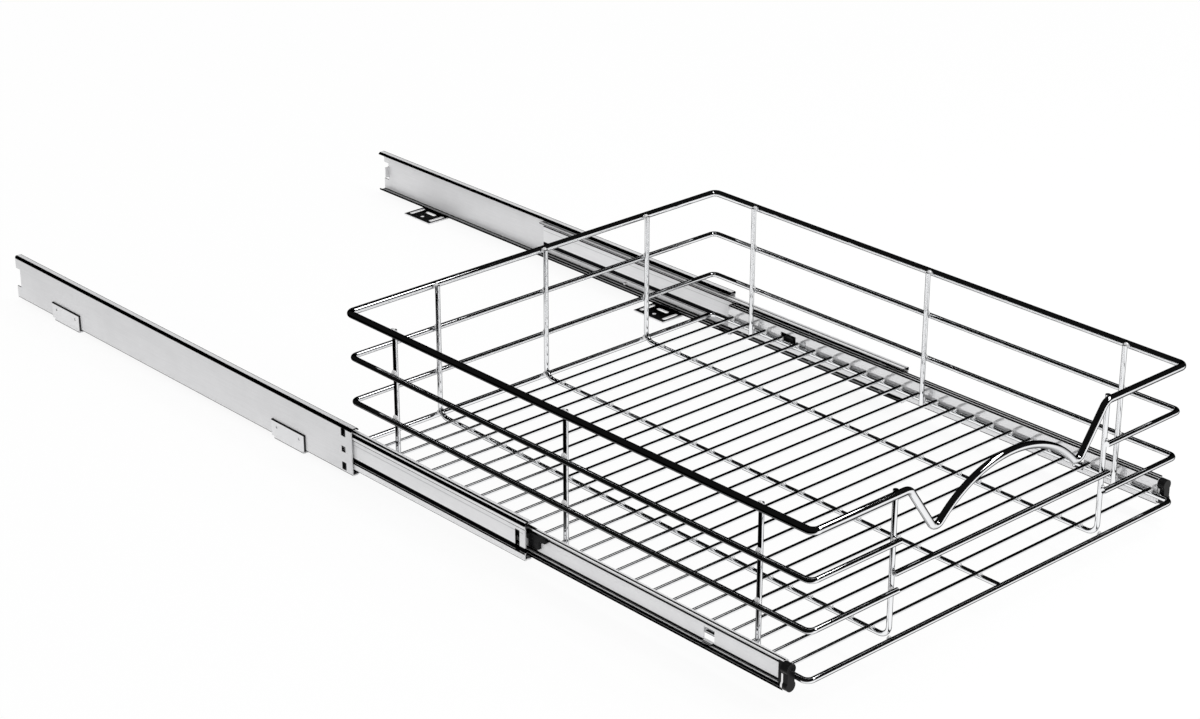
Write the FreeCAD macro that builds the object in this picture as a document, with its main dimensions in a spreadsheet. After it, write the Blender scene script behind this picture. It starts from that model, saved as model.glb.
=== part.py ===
import FreeCAD, Part
import math
import os
import Sketcher
from types import SimpleNamespace
from FreeCAD import Placement, Rotation, Vector

# Pull-out wire drawer: a chrome wire basket welded between a pair of three-member
# ball-bearing slides, drawn at full extension.
# X runs across the drawer, Y from its front to the back of the cabinet, Z up.
# The origin is the centre of the pattern of mounting slots, on the cabinet floor.

# Driving dimensions in millimetres: alias, value, what it measures
SIZES = [
    ("slide_length", 558.8, "cabinet member, end to end"),
    ("slide_height", 45.7, "cabinet member, over its flanges"),
    ("slide_thickness", 12.7, "closed slide, basket face to cabinet face"),
    ("sheet", 1.2, "sheet of the three slide members"),
    ("cage_sheet", 0.5, "sheet of the ball cages"),
    ("web_gap", 0.35, "running gap between neighbouring webs"),
    ("ball", 3.8, "ball diameter"),
    ("ball_gap", 0.3, "running gap between a ball and its races"),
    ("cage_hole_gap", 0.15, "gap between a ball and its hole in the cage"),
    ("race_step", 2.7, "from the bead to the outer race, and on to the inner race"),
    ("race_slope", 25.0, "slope of the middle member's flange between races, degrees"),
    ("bead_step", 0.75, "how far the middle member's beads stand proud of its web"),
    ("bead_height", 5.9, "straight height of a bead"),
    ("fold_radius", 0.8, "centre-line radius of the tight folds"),
    ("corner_radius", 1.3, "centre-line radius of the plain corners"),
    ("drawer_travel", 523.0, "how far the drawer runs out"),
    ("middle_travel", 233.0, "how far the middle members run out"),
    ("middle_length", 513.0, "middle member, end to end"),
    ("middle_setback", 3.0, "middle member behind the cabinet member's front when shut"),
    ("inner_length", 520.0, "drawer member, end to end"),
    ("outer_cage_length", 257.0, "cage between the cabinet and middle members"),
    ("inner_cage_length", 198.0, "cage between the middle and drawer members"),
    ("outer_balls", 4, "balls in each row of the outer cages"),
    ("inner_balls", 3, "balls in each row of the inner cages"),
    ("cage_margin", 8.0, "from a cage's end to its first ball"),
    ("cage_land", 0.6, "cage sheet left beyond a ball hole"),
    ("stop_inset", 11.5, "cage stops behind the cabinet member's front end"),
    ("stop_slot_width", 2.6, "slots lanced beside the cage stops, along the slide"),
    ("stop_slot_height", 7.5, "those slots, upright"),
    ("stop_height", 0.8, "how far the stops stand proud"),
    ("stop_rise", 16.4, "stop slots' middles from the slide's centre"),
    ("rear_stop", 4.0, "diameter of the stops on the middle member's beads"),
    ("rear_stop_inset", 6.0, "those stops in front of the middle member's back end"),
    ("screw_hole", 5.0, "hole in the cabinet member's web"),
    ("notch_depth", 7.5, "notch in the cabinet member's back end"),
    ("notch_height", 19.5, "height of that notch"),
    ("bumper_reach", 5.0, "how far the tab at the notch is bent in"),
    ("bumper_height", 12.0, "height of that tab"),
    ("latch_inset", 7.4, "latch slot behind the middle member's front end"),
    ("latch_width", 4.8, "latch slot, along the slide"),
    ("latch_height", 16.0, "latch slot, upright"),
    ("latch_drop", 1.05, "latch slot's middle below the slide's centre"),
    ("latch_tab", 3.9, "height of the latch tab, at the top of its slot"),
    ("latch_reach", 3.6, "how far the latch tab stands in"),
    ("cage_stop_place", 385.0, "inner cage stops behind the middle member's front end"),
    ("cage_stop", 2.2, "size of the inner cage stops"),
    ("window_place", 84.8, "front window behind the drawer member's front end"),
    ("window_width", 12.0, "front window, along the slide"),
    ("window_height", 11.0, "front window, upright"),
    ("window_drop", 2.8, "front window's middle below the slide's centre"),
    ("tongue_reach", 3.0, "how far the front window's tongue is bent out"),
    ("tail_window_width", 20.0, "window for the lever's tail, along the slide"),
    ("tail_window_height", 13.5, "window for the lever's tail, upright"),
    ("hook_to_pivot", 117.6, "lever's hook to its pivot"),
    ("lever_pivot_rise", 3.0, "lever pivot above the slide's centre"),
    ("lever_reach", 145.5, "from the pivot forward to the thumb tongue's tip"),
    ("lever_height", 5.0, "height of the lever's arm"),
    ("lever_sheet", 2.0, "thickness of the lever's arm"),
    ("lever_gap", 0.4, "gap between the lever and the drawer member's web"),
    ("thumb_length", 9.0, "thumb tongue in front of its root"),
    ("thumb_height", 4.5, "height of the thumb tongue"),
    ("thumb_rise", 5.5, "thumb tongue's middle above the slide's centre"),
    ("thumb_thickness", 2.8, "thickness of the thumb tongue and its root"),
    ("root_length", 12.0, "block at the tongue's root, along the slide"),
    ("root_height", 12.5, "height of that block"),
    ("root_rise", 1.75, "block's middle above the slide's centre"),
    ("hook_thickness", 5.2, "thickness of the lever's hook"),
    ("hook_length", 7.0, "length of the lever's hook"),
    ("tail_length", 20.0, "from the pivot back to the tail boss"),
    ("tail_boss_length", 14.0, "length of the tail boss"),
    ("tail_boss_height", 9.0, "height of the tail boss"),
    ("pivot_pin", 4.0, "diameter of the lever's rivet"),
    ("pivot_head", 6.0, "diameter of the rivet's heads"),
    ("pivot_head_height", 0.8, "height of the rivet's heads"),
    ("cap_length", 7.0, "end cap, in front of the drawer member"),
    ("cap_lobe", 9.8, "diameter of the end cap's lobes"),
    ("cap_lobe_spread", 14.2, "from one lobe's centre to the other"),
    ("cap_waist", 7.6, "end cap's width between the lobes"),
    ("cap_plug_length", 7.0, "end cap's plug inside the drawer member"),
    ("cap_plug_gap", 0.3, "gap round the plug"),
    ("bracket_sheet", 1.5, "sheet of the mounting brackets"),
    ("bracket_width", 50.0, "bracket, along the slide"),
    ("bracket_height", 19.5, "bracket, floor to top edge"),
    ("bracket_reach", 32.0, "bracket's flange, from its plate inwards"),
    ("bracket_neck", 3.5, "how much the flange is narrower at each end"),
    ("bracket_inset", 93.2, "a bracket's middle from the end of the cabinet member"),
    ("bracket_seat", 1.7, "gap between the flange and the slide above it"),
    ("slot_width", 4.5, "width of the screw slots"),
    ("cross_slot_length", 20.0, "slots across the slide"),
    ("cross_slot_spread", 33.0, "from one cross slot to the other"),
    ("cross_slot_inset", 14.5, "cross slots from the flange's inner edge"),
    ("long_slot_length", 16.0, "slot along the slide"),
    ("long_slot_inset", 20.2, "long slot from the flange's inner edge"),
    ("pilot_hole", 4.0, "small round hole in the flange"),
    ("pilot_inset", 8.2, "small round hole from the flange's inner edge"),
    ("weld_dimple", 2.6, "diameter of the spot-weld dimples in the bracket"),
    ("weld_dimple_depth", 0.5, "depth of those dimples"),
    ("weld_dimple_drop", 6.0, "dimples below the bracket's top edge"),
    ("weld_dimple_spread", 34.0, "from one dimple to the other"),
    ("basket_width", 446.1, "bottom ring, centre line to centre line, across"),
    ("basket_depth", 556.1, "bottom ring, centre line to centre line, front to back"),
    ("basket_height", 127.0, "bottom ring's centre line to top rail's centre line"),
    ("basket_drop", 2.0, "bottom ring's centre line below the slide's centre"),
    ("basket_overhang", 17.2, "bottom ring in front of the drawer members"),
    ("upper_ring_rise", 85.2, "upper ring above the bottom ring"),
    ("lower_ring_rise", 42.6, "lower ring above the bottom ring"),
    ("cross_wire_rise", 58.4, "front cross wire above the bottom ring"),
    ("corner", 6.0, "centre-line radius of the rings' corners"),
    ("top_wire", 6.5, "wire of the top rail"),
    ("ring_wire", 5.0, "wire of the rings"),
    ("upright_wire", 4.5, "wire of the uprights and the hoops"),
    ("floor_wire", 3.0, "wire of the floor"),
    ("weld_gap", 0.05, "space left between welded wires"),
    ("floor_wires", 24, "wires in the floor"),
    ("floor_front_gap", 22.3, "bottom ring's front to the first floor wire"),
    ("floor_back_gap", 27.8, "last floor wire to the bottom ring's back"),
    ("hoop_spread", 256.0, "from one outer hoop to the other"),
    ("upright_spread", 441.0, "from the front side upright to the back one"),
    ("hoop_bend", 10.0, "centre-line radius of the hoops' bends"),
    ("upright_peek", 1.0, "uprights' tops above the top rail's centre line"),
    ("wave_radius", 114.0, "radius of the handle's arch"),
    ("wave_peak_drop", 6.5, "top of the arch below the top rail"),
    ("wave_valley", 85.5, "valleys of the handle, from its middle"),
    ("wave_valley_radius", 7.0, "radius of the valleys"),
    ("wave_shoulder", 124.0, "shoulders' arc centres, from the middle"),
    ("wave_shoulder_radius", 10.0, "radius of the shoulders"),
]

doc = FreeCAD.newDocument("wire_drawer")
sheet = doc.addObject("Spreadsheet::Sheet", "Sizes")
for row, (alias, value, note) in enumerate(SIZES, start=1):
    sheet.set("A%d" % row, alias)
    sheet.set("B%d" % row, str(value))
    sheet.set("C%d" % row, note)
    sheet.setAlias("B%d" % row, alias)
doc.recompute()
d = SimpleNamespace(**{alias: sheet.get(alias) for alias, value, note in SIZES})

LEFT = -1
RIGHT = 1
SIDES = (("left", LEFT), ("right", RIGHT))

# Heights, measured up from the cabinet floor
slide_z = d.bracket_sheet + d.bracket_seat + d.slide_height / 2
ring_z = slide_z - d.basket_drop
top_z = ring_z + d.basket_height
floor_z = ring_z + (d.ring_wire + d.floor_wire) / 2 + d.weld_gap
hoop_z = floor_z - (d.floor_wire + d.upright_wire) / 2 - d.weld_gap

# Places across the drawer, measured out from its middle
ring_x = d.basket_width / 2
weld_x = ring_x - d.ring_wire / 2 - d.weld_gap
upright_x = weld_x - d.upright_wire / 2
top_x = weld_x + d.weld_gap + d.top_wire / 2
face_x = ring_x + d.ring_wire / 2 + d.weld_gap
web_x = face_x + d.slide_thickness

# Places from front to back, drawer pulled out
outer_front = -d.slide_length / 2
outer_back = d.slide_length / 2
inner_front = outer_front - d.drawer_travel
inner_back = inner_front + d.inner_length
middle_front = outer_front + d.middle_setback - d.middle_travel
middle_back = middle_front + d.middle_length
ring_front = inner_front - d.basket_overhang
ring_back = ring_front + d.basket_depth
basket_y = (ring_front + ring_back) / 2
weld_y = d.basket_depth / 2 - d.ring_wire / 2 - d.weld_gap
upright_y = weld_y - d.upright_wire / 2
top_y = weld_y + d.weld_gap + d.top_wire / 2
stop_y = outer_front + d.stop_inset
latch_y = middle_front + d.latch_inset
stop_back = stop_y + d.stop_slot_width / 2 + d.sheet
outer_cage_front = stop_back + d.web_gap
inner_cage_front = latch_y + d.latch_width + d.hook_length + d.sheet

# Slide section: s runs from the basket face out to the cabinet face, t up from the centre
slope = math.radians(d.race_slope)
race_radius = d.ball / 2 + d.ball_gap + d.sheet / 2
race_rise = race_radius / math.cos(slope)
outer_web_s = d.slide_thickness - d.sheet / 2
outer_cage_s = d.slide_thickness - d.sheet - d.web_gap - d.cage_sheet / 2
bead_s = outer_cage_s - d.cage_sheet / 2 - d.web_gap - d.sheet / 2
middle_web_s = bead_s - d.bead_step
inner_cage_s = middle_web_s - d.sheet / 2 - d.web_gap - d.cage_sheet / 2
inner_web_s = d.sheet / 2
outer_ball_s = bead_s - d.race_step
inner_ball_s = outer_ball_s - d.race_step
outer_flange_t = d.slide_height / 2 - d.sheet / 2
outer_ball_t = outer_flange_t - race_radius
dip_t = outer_ball_t - race_rise
crest_t = dip_t + d.race_step * math.tan(slope)
inner_ball_t = crest_t - race_rise
inner_flange_t = inner_ball_t - race_radius
bead_t = crest_t - d.bead_height


def read(name):
    """The cell of the sheet that holds a size, as an expression."""
    return "Sizes." + name


def offset_point(point, before, after, distance):
    """A vertex of a line shifted to its left by a distance."""
    normals = []
    for start, end in ((before, point), (point, after)):
        if start is None or end is None:
            continue
        run = (end - start).normalize()
        normals.append(Vector(-run.y, run.x, 0))
    total = normals[0]
    if len(normals) == 2:
        total = (normals[0] + normals[1]) / (1 + normals[0].dot(normals[1]))
    return point + total * distance


def rounded(points, radii):
    """Straight runs and tangent arcs through points, as (start, middle, end) with middle
    None on a straight run."""
    pieces = []
    last = points[0]
    for before, point, after, radius in zip(points, points[1:], points[2:], radii):
        inward = (before - point).normalize()
        onward = (after - point).normalize()
        half_angle = inward.getAngle(onward) / 2
        reach = radius / math.tan(half_angle)
        start = point + inward * reach
        end = point + onward * reach
        centre = point + (inward + onward).normalize() * (radius / math.sin(half_angle))
        middle = centre + (point - centre).normalize() * radius
        pieces.append((last, None, start))
        pieces.append((start, middle, end))
        last = end
    pieces.append((last, None, points[-1]))
    return pieces


def bent_sheet(points, radii, sheet_size):
    """The closed outline of a sheet whose centre line runs through points."""
    outline = []
    for distance in (sheet_size / 2, -sheet_size / 2):
        shifted = []
        for index, point in enumerate(points):
            before = points[index - 1] if index else None
            after = points[index + 1] if index + 1 < len(points) else None
            shifted.append(offset_point(point, before, after, distance))
        bends = []
        for before, point, after, radius in zip(points, points[1:], points[2:], radii):
            turns_left = (point - before).cross(after - point).z > 0
            bends.append(radius - distance if turns_left else radius + distance)
        side = rounded(shifted, bends)
        if distance < 0:
            side = [(end, middle, start) for start, middle, end in reversed(side)]
        outline.append(side)
    there, back = outline
    return there + [(there[-1][2], None, back[0][0])] + back + [(back[-1][2], None, there[0][0])]


def mirrored_up(points, radii):
    """A half section given from its lip to its web, completed below the centre."""
    below = [Vector(point.x, -point.y, 0) for point in reversed(points)]
    return points + below, radii + list(reversed(radii))


def section_point(side, point):
    """A point of the slide section in the drawer's own X and Z."""
    return Vector(side * (face_x + point.x), slide_z + point.y, 0)


def new_body(label):
    body = doc.addObject("PartDesign::Body", label)
    body.Label = label
    return body


def new_sketch(body, name, role, height):
    """A sketch on one of the body's own planes; height is an expression or a number."""
    sketch = body.newObject("Sketcher::SketchObject", name)
    plane = [feature for feature in body.Origin.OriginFeatures if feature.Role == role][0]
    sketch.AttachmentSupport = [(plane, "")]
    sketch.MapMode = "FlatFace"
    if isinstance(height, str):
        sketch.setExpression("AttachmentOffset.Base.z", height)
    else:
        sketch.AttachmentOffset = Placement(Vector(0, 0, height), Rotation())
    return sketch


def draw(sketch, outline):
    """Adds a closed outline of straight runs and arcs, each joined to the next."""
    ends = []
    for start, middle, end in outline:
        if middle is None:
            index = sketch.addGeometry(Part.LineSegment(start, end), False)
            ends.append((index, 1, 2))
            continue
        circle = Part.Circle(start, middle, end)
        centre = circle.Center
        turns_left = (middle - start).cross(end - middle).z > 0
        first, last = (start, end) if turns_left else (end, start)
        angles = [math.atan2(point.y - centre.y, point.x - centre.x) for point in (first, last)]
        flat = Part.Circle(centre, Vector(0, 0, 1), circle.Radius)
        index = sketch.addGeometry(Part.ArcOfCircle(flat, angles[0], angles[1]), False)
        ends.append((index, 1, 2) if turns_left else (index, 2, 1))
    for here, following in zip(ends, ends[1:] + ends[:1]):
        sketch.addConstraint(Sketcher.Constraint(
            "Coincident", here[0], here[2], following[0], following[1]))


def draw_box(sketch, low_x, low_y, high_x, high_y):
    corners = [Vector(low_x, low_y, 0), Vector(high_x, low_y, 0),
               Vector(high_x, high_y, 0), Vector(low_x, high_y, 0)]
    draw(sketch, [(corner, None, corners[(index + 1) % 4])
                  for index, corner in enumerate(corners)])


def draw_circle(sketch, centre_x, centre_y, diameter_name):
    """A circle whose diameter is bound to a cell of the sheet."""
    circle = Part.Circle(Vector(centre_x, centre_y, 0), Vector(0, 0, 1),
                         getattr(d, diameter_name) / 2)
    index = sketch.addGeometry(circle, False)
    sketch.addConstraint(Sketcher.Constraint("Diameter", index, getattr(d, diameter_name)))
    sketch.setExpression("Constraints[%d]" % (sketch.ConstraintCount - 1), read(diameter_name))


def draw_slot(sketch, centre, length, width, along):
    """A slot with round ends; along is the unit vector of its length."""
    across = Vector(-along.y, along.x, 0)
    reach = along * (length - width) / 2
    half = across * width / 2
    tip = along * width / 2
    draw(sketch, [
        (centre - reach - half, None, centre + reach - half),
        (centre + reach - half, centre + reach + tip, centre + reach + half),
        (centre + reach + half, None, centre - reach + half),
        (centre - reach + half, centre - reach - tip, centre - reach - half),
    ])


def pad(body, name, sketch, length):
    """Material along the sketch's normal; length is an expression or a number."""
    feature = body.newObject("PartDesign::Pad", name)
    feature.Profile = sketch
    if isinstance(length, str):
        feature.setExpression("Length", length)
    else:
        feature.Length = length
    sketch.Visibility = False
    doc.recompute()
    return feature


def pocket(body, name, sketch, depth):
    """A cut that reaches half its depth to each side of its sketch."""
    before = body.Shape.Volume
    feature = body.newObject("PartDesign::Pocket", name)
    feature.Profile = sketch
    feature.Midplane = True
    if isinstance(depth, str):
        feature.setExpression("Length", depth)
    else:
        feature.Length = depth
    sketch.Visibility = False
    doc.recompute()
    if body.Shape.Volume >= before:
        raise ValueError("%s cuts nothing from %s" % (name, body.Label))
    return feature


def low_x(side, near, far):
    """The smaller X of a slab that reaches from near to far across the slide section."""
    return face_x + near if side == RIGHT else -(face_x + far)


def rolled_member(label, side, points, radii, sheet_size, back, length):
    """A member rolled from sheet: its section drawn at its back end and run forwards."""
    body = new_body(label)
    sketch = new_sketch(body, label + "_section", "XZ_Plane", -back)
    points = [section_point(side, point) for point in points]
    draw(sketch, bent_sheet(points, radii, sheet_size))
    pad(body, label + "_run", sketch, length)
    return body


def web_cut(body, name, side, middle_s, shape):
    """Cuts through one web: shape draws in Y and Z on a sketch at the web's mid-plane."""
    sketch = new_sketch(body, name + "_outline", "YZ_Plane", side * (face_x + middle_s))
    shape(sketch)
    return pocket(body, name, sketch, 2 * d.sheet)


def web_lug(body, name, side, near, far, shape):
    """Adds material between two places across the section: shape draws in Y and Z."""
    sketch = new_sketch(body, name + "_outline", "YZ_Plane", low_x(side, near, far))
    shape(sketch)
    return pad(body, name, sketch, far - near)


def outer_member(name, side):
    """Cabinet member: a C open to the drawer, its lips cupping the outer balls."""
    lip = math.radians(60)
    reach = race_radius * math.tan(lip / 2)
    crown = Vector(outer_ball_s - reach, outer_flange_t, 0)
    lip_end = crown - Vector(math.cos(lip), math.sin(lip), 0) * (reach + d.sheet / 2)
    corner = Vector(outer_web_s, outer_flange_t, 0)
    points, radii = mirrored_up([lip_end, crown, corner], [race_radius, d.corner_radius])
    body = rolled_member(name, side, points, radii, d.sheet, outer_back, read("slide_length"))
    web_cut(body, name + "_notch", side, outer_web_s, lambda sketch: draw_box(
        sketch, outer_back - d.notch_depth, slide_z - d.notch_height / 2,
        outer_back + d.sheet, slide_z + d.notch_height / 2))
    web_cut(body, name + "_screw_hole", side, outer_web_s, lambda sketch: draw_circle(
        sketch, stop_y, slide_z, "screw_hole"))
    inner_skin = outer_web_s - d.sheet / 2
    for word, rise in (("lower", -1), ("upper", 1)):
        low = slide_z + rise * d.stop_rise - d.stop_slot_height / 2
        high = low + d.stop_slot_height
        web_cut(body, name + "_stop_slot_" + word, side, outer_web_s, lambda sketch: draw_box(
            sketch, stop_back - d.sheet - d.stop_slot_width, low, stop_back - d.sheet, high))
        web_lug(body, name + "_stop_" + word, side, inner_skin - d.stop_height, outer_web_s,
                lambda sketch: draw_box(
                    sketch, stop_back - d.sheet, low + d.sheet, stop_back, high - d.sheet))
    notch_y = outer_back - d.notch_depth
    web_lug(body, name + "_bumper", side, inner_skin - d.bumper_reach, outer_web_s,
            lambda sketch: draw_box(
                sketch, notch_y - d.sheet, slide_z - d.bumper_height / 2,
                notch_y, slide_z + d.bumper_height / 2))
    return body


def middle_member(name, side):
    """Middle member: beads round a recessed web, and a flange that dips under the outer
    balls and crests over the inner ones."""
    lip_run = race_radius * math.tan(slope) + d.sheet * 2 / 3
    crest = Vector(inner_ball_s, crest_t, 0)
    lip_end = crest - Vector(math.cos(slope), math.sin(slope), 0) * lip_run
    dip = Vector(outer_ball_s, dip_t, 0)
    fold = Vector(bead_s, crest_t, 0)
    bead = Vector(bead_s, bead_t, 0)
    web = Vector(middle_web_s, bead_t - d.bead_step, 0)
    points, radii = mirrored_up(
        [lip_end, crest, dip, fold, bead, web],
        [race_radius, race_radius, d.fold_radius, d.fold_radius, d.fold_radius])
    body = rolled_member(name, side, points, radii, d.sheet, middle_back, read("middle_length"))
    latch_z = slide_z - d.latch_drop
    web_cut(body, name + "_latch_slot", side, middle_web_s, lambda sketch: draw_box(
        sketch, latch_y, latch_z - d.latch_height / 2,
        latch_y + d.latch_width, latch_z + d.latch_height / 2))
    tab_top = latch_z + d.latch_height / 2
    inner_skin = middle_web_s - d.sheet / 2
    web_lug(body, name + "_latch_tab", side, inner_skin - d.latch_reach, middle_web_s,
            lambda sketch: draw_box(
                sketch, latch_y - d.sheet, tab_top - d.latch_tab, latch_y, tab_top))
    stop_place = middle_front + d.cage_stop_place
    bead_skin = bead_s - d.sheet / 2
    half = d.cage_stop / 2
    for word, rise in (("lower", -1), ("upper", 1)):
        centre = slide_z + rise * (inner_ball_t + d.sheet / 2)
        web_lug(body, name + "_cage_stop_" + word, side, bead_skin - d.race_step, bead_s,
                lambda sketch: draw_box(
                    sketch, stop_place - half, centre - half, stop_place + half, centre + half))
        web_lug(body, name + "_rear_stop_" + word, side, bead_s,
                bead_s + d.sheet / 2 + d.stop_height,
                lambda sketch: draw_circle(
                    sketch, middle_back - d.rear_stop_inset,
                    slide_z + rise * (bead_t + crest_t) / 2, "rear_stop"))
    return body


def inner_member(name, side):
    """Drawer member: a C that faces outwards, its edges turned up beside the inner balls."""
    lip = math.radians(50)
    reach = race_radius * math.tan(lip / 2)
    foot = Vector(inner_ball_s + reach, inner_flange_t, 0)
    lip_end = foot + Vector(math.cos(lip), math.sin(lip), 0) * (reach + d.sheet / 3)
    corner = Vector(inner_web_s, inner_flange_t, 0)
    points, radii = mirrored_up([lip_end, foot, corner], [race_radius, d.corner_radius])
    body = rolled_member(name, side, points, radii, d.sheet, inner_back, read("inner_length"))
    window_y = inner_front + d.window_place
    window_z = slide_z - d.window_drop
    web_cut(body, name + "_window", side, inner_web_s, lambda sketch: draw_box(
        sketch, window_y - d.window_width / 2, window_z - d.window_height / 2,
        window_y + d.window_width / 2, window_z + d.window_height / 2))
    sill_z = window_z - d.window_height / 2
    web_lug(body, name + "_tongue", side, inner_web_s, d.sheet + d.tongue_reach,
            lambda sketch: draw_box(
                sketch, window_y - d.window_width / 2 + d.sheet, sill_z - d.sheet,
                window_y + d.window_width / 2 - d.sheet, sill_z))
    web_cut(body, name + "_tail_window", side, inner_web_s, lambda sketch: draw_box(
        sketch, tail_y - d.tail_window_width / 2, slide_z - d.tail_window_height / 2,
        tail_y + d.tail_window_width / 2, slide_z + d.tail_window_height / 2))
    web_cut(body, name + "_rivet_hole", side, inner_web_s, lambda sketch: draw_circle(
        sketch, pivot_y, pivot_z, "pivot_pin"))
    return body


def ball_cage(name, side, web_s, ball_s, ball_t, front, length_name, count):
    """Ball cage: a thin channel with a hole in each flange for every ball."""
    edge = Vector(ball_s - d.ball / 2 - d.cage_hole_gap - d.cage_land, ball_t, 0)
    corner = Vector(web_s, ball_t, 0)
    points, radii = mirrored_up([edge, corner], [d.fold_radius])
    back = front + getattr(d, length_name)
    body = rolled_member(name, side, points, radii, d.cage_sheet, back, read(length_name))
    first = front + d.cage_margin
    step = (getattr(d, length_name) - 2 * d.cage_margin) / (count - 1)
    sketch = new_sketch(body, name + "_hole", "XY_Plane", slide_z)
    centre = Vector(side * (face_x + ball_s), first, 0)
    circle = Part.Circle(centre, Vector(0, 0, 1), d.ball / 2 + d.cage_hole_gap)
    index = sketch.addGeometry(circle, False)
    sketch.addConstraint(Sketcher.Constraint("Diameter", index, 2 * circle.Radius))
    sketch.setExpression("Constraints[0]", "Sizes.ball + 2 * Sizes.cage_hole_gap")
    hole = pocket(body, name + "_ball_hole", sketch, 2 * (ball_t + d.ball))
    pattern = body.newObject("PartDesign::LinearPattern", name + "_ball_holes")
    pattern.Originals = [hole]
    pattern.Direction = (sketch, ["V_Axis"])
    pattern.Length = step * (count - 1)
    pattern.Occurrences = count
    body.Tip = pattern
    doc.recompute()
    return [first + step * index for index in range(count)]


def ball_row(name, side, ball_s, ball_t, places):
    """The balls of one cage, in its upper and its lower race."""
    balls = []
    for rise in (1, -1):
        for place in places:
            ball = doc.addObject("Part::Sphere", name + "_ball")
            ball.setExpression("Radius", "Sizes.ball / 2")
            ball.Placement.Base = Vector(
                side * (face_x + ball_s), place, slide_z + rise * ball_t)
            balls.append(ball)
    return group(name, balls)


def group(label, members):
    """Separate solids kept together as one sub-part."""
    compound = doc.addObject("Part::Compound", label)
    compound.Label = label
    compound.Links = members
    return compound


def release_lever(name, side):
    """Plastic lever on the drawer member: hub, arm, hook behind the latch tab, a thumb
    tongue on its root block, and a tail whose boss shows through the web."""
    body = new_body(name)
    near = d.sheet + d.lever_gap
    half = d.lever_height / 2
    thumb_y = pivot_y - d.lever_reach
    root_y = thumb_y + d.thumb_length + d.root_length / 2

    def slab(part, far, shape, start=near):
        sketch = new_sketch(body, name + part, "YZ_Plane", low_x(side, start, far))
        shape(sketch)
        pad(body, name + part + "_slab", sketch, far - start)

    plate = near + d.lever_sheet
    slab("_arm", plate, lambda sketch: draw_slot(
        sketch, Vector((tail_y + root_y) / 2, pivot_z, 0),
        tail_y - root_y, d.lever_height, Vector(1, 0, 0)))
    slab("_hub", plate, lambda sketch: sketch.addGeometry(
        Part.Circle(Vector(pivot_y, pivot_z, 0), Vector(0, 0, 1), d.pivot_head), False))
    root_low = slide_z + d.root_rise - d.root_height / 2
    slab("_root", near + d.thumb_thickness, lambda sketch: draw_box(
        sketch, root_y - d.root_length / 2, root_low,
        root_y + d.root_length / 2, root_low + d.root_height))
    slab("_thumb", near + d.thumb_thickness, lambda sketch: draw_slot(
        sketch, Vector((thumb_y + root_y) / 2, slide_z + d.thumb_rise, 0),
        root_y - thumb_y, d.thumb_height, Vector(1, 0, 0)))
    hook_y = latch_y + d.web_gap
    slab("_hook", near + d.hook_thickness, lambda sketch: draw_box(
        sketch, hook_y, pivot_z - half, hook_y + d.hook_length, pivot_z + half))
    slab("_boss", plate, lambda sketch: draw_slot(
        sketch, Vector(tail_y, slide_z, 0), d.tail_boss_length, d.tail_boss_height,
        Vector(1, 0, 0)), start=d.lever_gap)
    hole = new_sketch(body, name + "_bore", "YZ_Plane", side * (face_x + near))
    hole.addGeometry(Part.Circle(Vector(pivot_y, pivot_z, 0), Vector(0, 0, 1),
                                 d.pivot_pin / 2), False)
    pocket(body, name + "_pivot_bore", hole, 4 * d.lever_sheet)
    return body


def lever_rivet(name, side):
    """Headed rivet that carries the lever on the drawer member's web."""
    body = new_body(name)
    tail = d.sheet + d.lever_gap + d.lever_sheet + d.lever_gap
    shank = d.pivot_pin / 2 - d.weld_gap
    head = d.pivot_head / 2
    radii_and_depths = [
        (0.0, -d.pivot_head_height), (head, -d.pivot_head_height), (head, 0.0), (shank, 0.0),
        (shank, tail), (head, tail), (head, tail + d.pivot_head_height),
        (0.0, tail + d.pivot_head_height)]
    sketch = new_sketch(body, name + "_half", "XZ_Plane", -pivot_y)
    corners = [Vector(side * (face_x + depth), pivot_z + radius, 0)
               for radius, depth in radii_and_depths]
    draw(sketch, [(corner, None, corners[(index + 1) % len(corners)])
                  for index, corner in enumerate(corners)])
    axis = sketch.addGeometry(Part.LineSegment(corners[0], corners[-1]), True)
    feature = body.newObject("PartDesign::Revolution", name + "_turned")
    feature.Profile = sketch
    feature.ReferenceAxis = (sketch, ["Axis0"])
    feature.Angle = 360
    sketch.Visibility = False
    doc.recompute()
    return body


def end_cap(name, side):
    """Plastic cap: two lobes joined by a waist, with a plug inside the channel."""
    body = new_body(name)
    lobe = d.cap_lobe / 2
    rise = d.cap_lobe_spread / 2
    middle = lobe - d.weld_gap
    half = d.cap_waist / 2
    lift = math.sqrt(lobe ** 2 - half ** 2)
    points = []
    for direction in (-1, 1):
        centre = Vector(middle, direction * rise, 0)
        points.append((centre + Vector(direction * half, -direction * lift, 0),
                       centre + Vector(0, direction * lobe, 0),
                       centre + Vector(-direction * half, -direction * lift, 0)))
    bottom, top = points
    corners = [[section_point(side, point) for point in lobe_points]
               for lobe_points in (bottom, top)]
    (b1, b2, b3), (t1, t2, t3) = corners
    sketch = new_sketch(body, name + "_outline", "XZ_Plane", -inner_front)
    draw(sketch, [(b1, b2, b3), (b3, None, t1), (t1, t2, t3), (t3, None, b1)])
    pad(body, name + "_nose", sketch, read("cap_length"))
    inside = d.sheet + d.cap_plug_gap
    reach = inner_ball_s - inside
    high = inner_flange_t - d.sheet / 2 - d.cap_plug_gap
    sketch = new_sketch(body, name + "_plug_outline", "XZ_Plane",
                        -(inner_front + d.cap_plug_length))
    draw_box(sketch, low_x(side, inside, inside + reach), slide_z - high,
             low_x(side, inside, inside + reach) + reach, slide_z + high)
    pad(body, name + "_plug", sketch, read("cap_plug_length"))
    return body


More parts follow.
